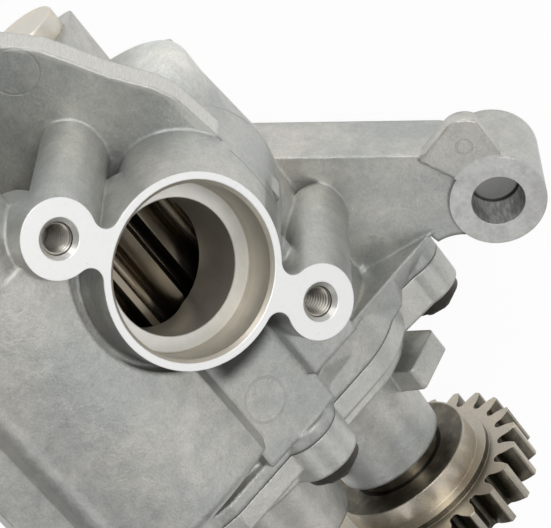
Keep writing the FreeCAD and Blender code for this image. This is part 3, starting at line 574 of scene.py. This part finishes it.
class SteelLook(bpy.types.PropertyGroup):
    gear: FloatVectorProperty(name="Gear face", description="Flat faces of the gear", subtype="COLOR",
                              default=(0.50, 0.465, 0.40))
    gear_warm: FloatVectorProperty(name="Gear tan", description="Tan patches on the gear", subtype="COLOR",
                                   default=(0.56, 0.50, 0.41))
    # gear_dark also colours the hub's flat face, as painted shade.
    gear_dark: FloatVectorProperty(name="Gear flanks", description="Flanks of the teeth and side of the hub",
                                   subtype="COLOR", default=(0.13, 0.118, 0.092))
    gear_oil: FloatVectorProperty(name="Gear oil", description="Oiled patches on the flanks", subtype="COLOR",
                                  default=(0.24, 0.215, 0.17))
    gear_roughness: FloatProperty(name="Gear roughness", description="Roughness of the gear",
                                  default=0.38, min=0.0, max=1.0)


class ThreadSizes(bpy.types.PropertyGroup):
    pitch: FloatProperty(name="Pitch", description="Thread pitch, in millimetres", default=1.25)
    depth: FloatProperty(name="Depth", description="Height of the ridge, in millimetres", default=0.66)
    steps: IntProperty(name="Steps", description="Points round one turn", default=56)


class CoilSizes(bpy.types.PropertyGroup):
    wire: FloatProperty(name="Wire", description="Radius of the spring's wire, in millimetres", default=0.7)
    play: FloatProperty(name="Play", description="Gap at each end of the spring, in millimetres", default=0.02)
    travel: FloatProperty(name="Travel", description="Way that the piston moves, in millimetres", default=7.0)
    turns: IntProperty(name="Turns", description="Turns of the coil", default=8)
    steps: IntProperty(name="Steps", description="Rings of points in one turn", default=48)
    sides: IntProperty(name="Sides", description="Points round the wire", default=12)


class StageLook(bpy.types.PropertyGroup):
    key: FloatProperty(name="Key lamp", description="Soft lamp at the top of the picture",
                       default=5.9, unit="POWER")
    face: FloatProperty(name="Face lamp", description="Soft lamp that the milled faces mirror",
                        default=1.4, unit="POWER")
    back: FloatProperty(name="Back lamp", description="Soft low lamp behind the plate",
                        default=4.0, unit="POWER")
    top: FloatProperty(name="Top lamp", description="Soft lamp that the level faces mirror",
                       default=0.8, unit="POWER")
    sky: FloatProperty(name="Room light", description="Even light of the pale room", default=0.38)
    floor: FloatVectorProperty(name="Floor", description="Pale floor",
                               subtype="COLOR", default=(0.86, 0.86, 0.86))


class PUMP_OT_castings(bpy.types.Operator):
    """Finish the cast body and its cover"""
    bl_idname = "pump.castings"
    bl_label = "Castings"

    def execute(self, context):
        scene = context.scene
        paint(["pump_body"], body_casting(scene.pump_casting, scene.pump_cut))
        paint(["pump_cover"], cover_casting(scene.pump_casting))
        return {"FINISHED"}


class PUMP_OT_fasteners(bpy.types.Operator):
    """Finish the cover bolts, dowels, washer, nut and ear sleeve"""
    bl_idname = "pump.fasteners"
    bl_label = "Fasteners"

    def execute(self, context):
        paint(["cover_bolts"],
              plain_metal("black_bolts", (0.060, 0.056, 0.050), roughness=0.42, metallic=0.75,
                          grain=0.3, spread=0.25, edge=0.3))
        paint(["cover_dowels", "gear_washer", "gear_nut"],
              plain_metal("plain_steel", (0.50, 0.48, 0.44), roughness=0.36, metallic=0.95,
                          grain=0.3, spread=0.10, edge=0.25))
        paint(["ear_sleeve"],
              plain_metal("sleeve_steel", (0.20, 0.205, 0.20), roughness=0.42, metallic=0.9,
                          grain=0.3, spread=0.16, edge=0.15))
        return {"FINISHED"}


class PUMP_OT_drive_line(bpy.types.Operator):
    """Finish the shaft, the keys, the idler pin, the relief piston and the drive gear"""
    bl_idname = "pump.drive_line"
    bl_label = "Drive line"

    def execute(self, context):
        paint(["drive_shaft", "gear_key", "rotor_key", "idler_pin", "relief_piston"],
              plain_metal("ground_steel", (0.27, 0.255, 0.22), roughness=0.20, metallic=1.0,
                          grain=0.35, spread=0.10, edge=0.2, lines=(1.0, 0.05, 0.05)))
        paint(["drive_gear"], gear_metal(context.scene.pump_steel))
        return {"FINISHED"}


class PUMP_OT_rotors(bpy.types.Operator):
    """Finish the two pumping rotors"""
    bl_idname = "pump.rotors"
    bl_label = "Rotors"

    def execute(self, context):
        paint(["driving_rotor", "driven_rotor"],
              plain_metal("rotor_steel", (0.24, 0.215, 0.175), roughness=0.24, metallic=1.0,
                          grain=0.5, spread=0.12, edge=0.25, lines=(0.06, 1.0, 1.0)))
        return {"FINISHED"}


class PUMP_OT_bearings(bpy.types.Operator):
    """Finish the bronze bushes"""
    bl_idname = "pump.bearings"
    bl_label = "Bearings"

    def execute(self, context):
        paint(["rotor_bush", "body_bush", "cover_bush"],
              plain_metal("bearing_bronze", (0.52, 0.36, 0.18), roughness=0.30, metallic=1.0,
                          grain=0.4, spread=0.12, edge=0.25))
        return {"FINISHED"}


def add_object(name, data):
    """New object in the scene, at the origin."""
    made = bpy.data.objects.new(name, data)
    bpy.context.scene.collection.objects.link(made)
    return made


def new_mesh(name, points, faces, material):
    """Mesh of points in metres."""
    mesh = bpy.data.meshes.new(name)
    mesh.from_pydata(points.tolist(), [], faces)
    mesh.materials.append(material)
    return mesh


def new_piece(name, points, faces, material, body):
    """Piece with its place in its mesh, smooth shaded, riding on a body."""
    mesh = new_mesh(name, points, faces, material)
    mesh.polygons.foreach_set("use_smooth", np.ones(len(mesh.polygons), bool))
    mesh.update()
    piece = add_object(name, mesh)
    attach(piece, body)
    return piece


def grid_faces(rows, around, closed=False):
    """Quads of a grid of points that closes round its second direction, and round its first too where closed."""
    i, j = np.meshgrid(np.arange(rows if closed else rows - 1), np.arange(around), indexing="ij")
    k = np.mod(i + 1, rows)
    m = np.mod(j + 1, around)
    return np.stack([i * around + j, k * around + j, k * around + m, i * around + m], axis=-1).reshape(-1, 4)


def box_of(node):
    """Low and high corner of a CAD node, in millimetres."""
    found = frame["nodes"][node]
    corners = np.array([found.matrix_world @ Vector(corner) for corner in found.bound_box])
    return Vector(corners.min(axis=0)) * MM, Vector(corners.max(axis=0)) * MM


def coil_grid(low, high, sizes):
    """Open coil along X that fills a box.

    Two parameters: t runs along the wire from 0 to 1 and b is the angle round it. With a = 2 pi turns t, a point
    is at x = start + length t + wire sin b and at a distance (coil + wire cos b) from the axis, in the direction
    of a.
    """
    wire = sizes.wire
    coil = (high.z - low.z) / 2.0 - wire
    start, end = low.x + wire + sizes.play, high.x - wire - sizes.play
    t, b = np.meshgrid(np.linspace(0.0, 1.0, sizes.turns * sizes.steps + 1),
                       np.linspace(0.0, FULL_TURN, sizes.sides, endpoint=False), indexing="ij")
    a = FULL_TURN * sizes.turns * t
    r = coil + wire * np.cos(b)
    middle = (low + high) / 2.0
    points = np.stack([start + (end - start) * t + wire * np.sin(b),
                       middle.y + r * np.sin(a),
                       middle.z + r * np.cos(a)], axis=-1)
    rings, n = t.shape
    faces = grid_faces(rings, n)[:, [0, 3, 2, 1]].tolist()
    first = list(reversed(range(n)))
    last = [(rings - 1) * n + m for m in range(n)]
    return points.reshape(-1, 3) / MM, faces + [first, last]


class PUMP_OT_relief(bpy.types.Operator):
    """Finish the relief valve's cap and stand a coil in its spring's place"""
    bl_idname = "pump.relief"
    bl_label = "Relief valve"

    def execute(self, context):
        paint(["relief_cap"],
              plain_metal("cap_metal", (0.66, 0.635, 0.575), roughness=0.44, metallic=0.55,
                          grain=0.8, spread=0.06, edge=0.6))
        wire = plain_metal("spring_steel", (0.30, 0.29, 0.27), roughness=0.32, metallic=1.0,
                           grain=0.3, spread=0.10, edge=0.1)
        sizes = context.scene.pump_coil
        low, high = box_of("relief_spring")
        points, faces = coil_grid(low, high, sizes)
        coil = new_piece("relief_coil", points, faces, wire, "housing")
        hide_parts("relief_spring")
        1.0 - sizes.travel / (high.x - low.x)
        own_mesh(coil)
        return {"FINISHED"}


def thread_grid(place, axis, radius, length, sizes):
    """Closed sleeve lining a tapped hole.

    Two parameters: the turn angle a and a distance s that runs up the bored side and down the outer side.
    On the bored side the radius is the hole's less a triangle wave of (s / pitch - a / full turn), with its tops
    and bottoms cut flat; on the outer side it is the hole's radius all the way.
    """
    rows_per_turn, steepness, cut_flat, runout = 10, 1.3, 0.15, 0.8
    play_inside, play_outside = 0.02, 0.005
    turns = np.linspace(0.0, FULL_TURN, sizes.steps, endpoint=False)
    rise = np.linspace(0.0, length, int(length / sizes.pitch * rows_per_turn))
    a, s = np.meshgrid(turns, rise)
    wave = np.mod(s / sizes.pitch - a / FULL_TURN, 1.0)
    ridge = np.clip(steepness * (1.0 - np.abs(2.0 * wave - 1.0)) - cut_flat, 0.0, 1.0)
    taper = np.clip((length - s) / runout, 0.0, 1.0) * np.clip(s / runout, 0.0, 1.0)
    inner = radius - play_inside - sizes.depth * ridge * taper
    outer = np.full((2, sizes.steps), radius - play_outside)
    r = np.vstack([inner, outer])
    h = np.vstack([s, np.full((1, sizes.steps), length), np.zeros((1, sizes.steps))])
    a = np.vstack([a, a[:2]])
    side = axis.orthogonal().normalized()
    points = (np.array(place) + np.outer(h.ravel(), axis) + np.outer((r * np.cos(a)).ravel(), side)
              + np.outer((r * np.sin(a)).ravel(), axis.cross(side)))
    return points / MM, grid_faces(*r.shape, closed=True).tolist()


def thread_below(hole):
    """How far the hole's wall runs below the mount's point: its top end is the countersink under the port face."""
    to_face = (PORT - hole.place).dot(PORT_AXIS)
    return hole.sizes["length_mm"] - (to_face - LUG_SINK)


class PUMP_OT_lug_threads(bpy.types.Operator):
    """Cut the threads in the suction port's two lugs"""
    bl_idname = "pump.lug_threads"
    bl_label = "Lug threads"

    def execute(self, context):
        sizes = context.scene.pump_thread
        steel = thread_metal(context.scene.pump_cut, sizes.depth)
        for side, hole in LUG_HOLES.items():
            bottom = hole.place - hole.axis * thread_below(hole)
            points, faces = thread_grid(bottom, hole.axis, hole.sizes["r_mm"], hole.sizes["length_mm"], sizes)
            new_piece("lug_thread_" + side, points, faces, steel, "housing")
        return {"FINISHED"}


# Camera fitted to the photograph: its place in metres and its own directions in the frame.
LENS, SENSOR_WIDTH = 130.67, 36.0
CAMERA_CLIP = (0.05, 20.0)
CAMERA_PLACE = Vector((-0.2163, 0.1918, 0.5103))
CAMERA_RIGHT = Vector((0.5714, 0.8207, -0.0016))
CAMERA_UP = Vector((-0.7059, 0.4905, -0.5110))
CAMERA_BACK = Vector((-0.4186, 0.2931, 0.8596))

# Lamps: name of the strength in StageLook, place and width in metres. All of them face LAMP_AIM.
LAMPS = (
    ("key", (-0.40, 0.62, 0.98), 0.6),
    ("face", (0.42, 0.86, 0.62), 0.7),
    ("back", (-0.95, 0.30, 0.34), 0.5),
    ("top", (0.45, -0.30, 0.95), 0.5),
)
LAMP_AIM = Vector((0.0, 0.03, 0.06))

# Floor, in metres: its rings stand closer near the pump. Shares of its white that the camera and gloss see.
FLOOR_RADIUS, FLOOR_LEVEL, FLOOR_RINGS, FLOOR_STEPS, FLOOR_CLOSER = 6.0, -0.0005, 12, 96, 1.5
SEEN_WHITE, GLOSS_WHITE = 0.94, 0.82
WHITE = (1.0, 1.0, 1.0)

# Room: heights between which its light grows, and the shares of the full light there.
ROOM_HEIGHTS, ROOM_SHARES = (-0.2, 0.9), (0.35, 1.0)


class PUMP_OT_stage(bpy.types.Operator):
    """Pale floor, soft lamps, room light and the camera"""
    bl_idname = "pump.stage"
    bl_label = "Stage"

    def execute(self, context):
        scene = context.scene
        look = scene.pump_stage
        make_camera(scene)
        make_floor(look)
        for name, place, width in LAMPS:
            make_lamp(name + "_lamp", Vector(place), width, getattr(look, name))
        make_room(scene, look)
        scene.view_settings.view_transform = "Standard"
        return {"FINISHED"}


def make_camera(scene):
    """Camera where the photograph was taken from."""
    data = bpy.data.cameras.new("photo_camera")
    data.sensor_width = SENSOR_WIDTH
    data.lens = LENS
    data.clip_start, data.clip_end = CAMERA_CLIP
    camera = add_object("photo_camera", data)
    turn = Matrix((CAMERA_RIGHT, CAMERA_UP, CAMERA_BACK)).transposed().to_4x4()
    camera.matrix_world = Matrix.Translation(CAMERA_PLACE) @ turn
    scene.camera = camera


def make_floor(look):
    """Level disc under the pump: radius grows along one parameter, angle along the other."""
    radii = np.linspace(0.0, 1.0, FLOOR_RINGS)[1:] ** FLOOR_CLOSER * FLOOR_RADIUS
    angles = np.linspace(0.0, FULL_TURN, FLOOR_STEPS, endpoint=False)
    r, a = np.meshgrid(radii, angles, indexing="ij")
    points = np.stack([r * np.cos(a), r * np.sin(a), np.full(r.shape, FLOOR_LEVEL)], axis=-1).reshape(-1, 3)
    middle = list(range(FLOOR_STEPS))
    g = new_material("pale_floor")
    seen = highest([g.ray("Is Glossy Ray") * GLOSS_WHITE, g.ray("Is Transmission Ray"), g.ray("Is Camera Ray")])
    paper = g.node("ShaderNodeBsdfDiffuse", None, {"Color": look.floor})
    glow = g.node("ShaderNodeEmission", None, {"Color": WHITE, "Strength": 1.0})
    both = g.node("ShaderNodeMixShader", None, {0: seen * SEEN_WHITE, 1: paper, 2: glow})
    g.node("ShaderNodeOutputMaterial", None, {"Surface": both})
    mesh = new_mesh("pale_floor", points, grid_faces(*r.shape).tolist() + [middle], g.owner)
    add_object("pale_floor", mesh)


def make_lamp(name, place, width, power):
    """Square soft lamp at a place in metres."""
    data = bpy.data.lights.new(name, "AREA")
    data.shape = "SQUARE"
    data.size = width
    data.energy = power
    lamp = add_object(name, data)
    lamp.location = place
    lamp.rotation_mode = "QUATERNION"
    lamp.rotation_quaternion = (LAMP_AIM - place).to_track_quat("-Z", "Y")


def make_room(scene, look):
    """Pale room: brighter above than at the sides, plain white where the camera looks past the floor."""
    scene.world = bpy.data.worlds.new("pale_room")
    g = Graph(scene.world)
    height = g.parts(g.node("ShaderNodeTexCoord", out="Generated"))[2]
    share = g.node("ShaderNodeMapRange", None,
                   {"Value": height, "From Min": ROOM_HEIGHTS[0], "From Max": ROOM_HEIGHTS[1],
                    "To Min": ROOM_SHARES[0], "To Max": ROOM_SHARES[1]})
    room = g.node("ShaderNodeBackground", None, {"Color": WHITE, "Strength": share * look.sky})
    white = g.node("ShaderNodeBackground", None, {"Color": WHITE})
    both = g.node("ShaderNodeMixShader", None, {0: g.ray("Is Camera Ray"), 1: room, 2: white})
    g.node("ShaderNodeOutputWorld", None, {"Surface": both})


GROUPS = {
    "pump_casting": CastingLook,
    "pump_cut": CutLook,
    "pump_steel": SteelLook,
    "pump_thread": ThreadSizes,
    "pump_coil": CoilSizes,
    "pump_stage": StageLook,
}
OPERATORS = (PUMP_OT_castings, PUMP_OT_fasteners, PUMP_OT_drive_line, PUMP_OT_rotors, PUMP_OT_bearings,
             PUMP_OT_relief, PUMP_OT_lug_threads, PUMP_OT_stage)


class PUMP_PT_sidebar(bpy.types.Panel):
    """Buttons and looks of the oil pump"""
    bl_idname = "PUMP_PT_sidebar"
    bl_label = "Oil Pump"
    bl_space_type = "VIEW_3D"
    bl_region_type = "UI"
    bl_category = "Oil Pump"

    def draw(self, context):
        for operator in OPERATORS:
            self.layout.operator(operator.bl_idname)
        for name in GROUPS:
            group = getattr(context.scene, name)
            for setting in group.__annotations__:
                self.layout.prop(group, setting)


CLASSES = (*GROUPS.values(), *OPERATORS, PUMP_PT_sidebar)


def register():
    for item in CLASSES:
        bpy.utils.register_class(item)
    for name, group in GROUPS.items():
        setattr(bpy.types.Scene, name, PointerProperty(type=group))


def unregister():
    for name in GROUPS:
        delattr(bpy.types.Scene, name)
    for item in reversed(CLASSES):
        bpy.utils.unregister_class(item)


def main():
    register()
    for step in ("castings", "fasteners", "drive_line", "rotors", "bearings", "relief", "lug_threads", "stage"):
        getattr(bpy.ops.pump, step)()


if __name__ == "__main__":
    main()
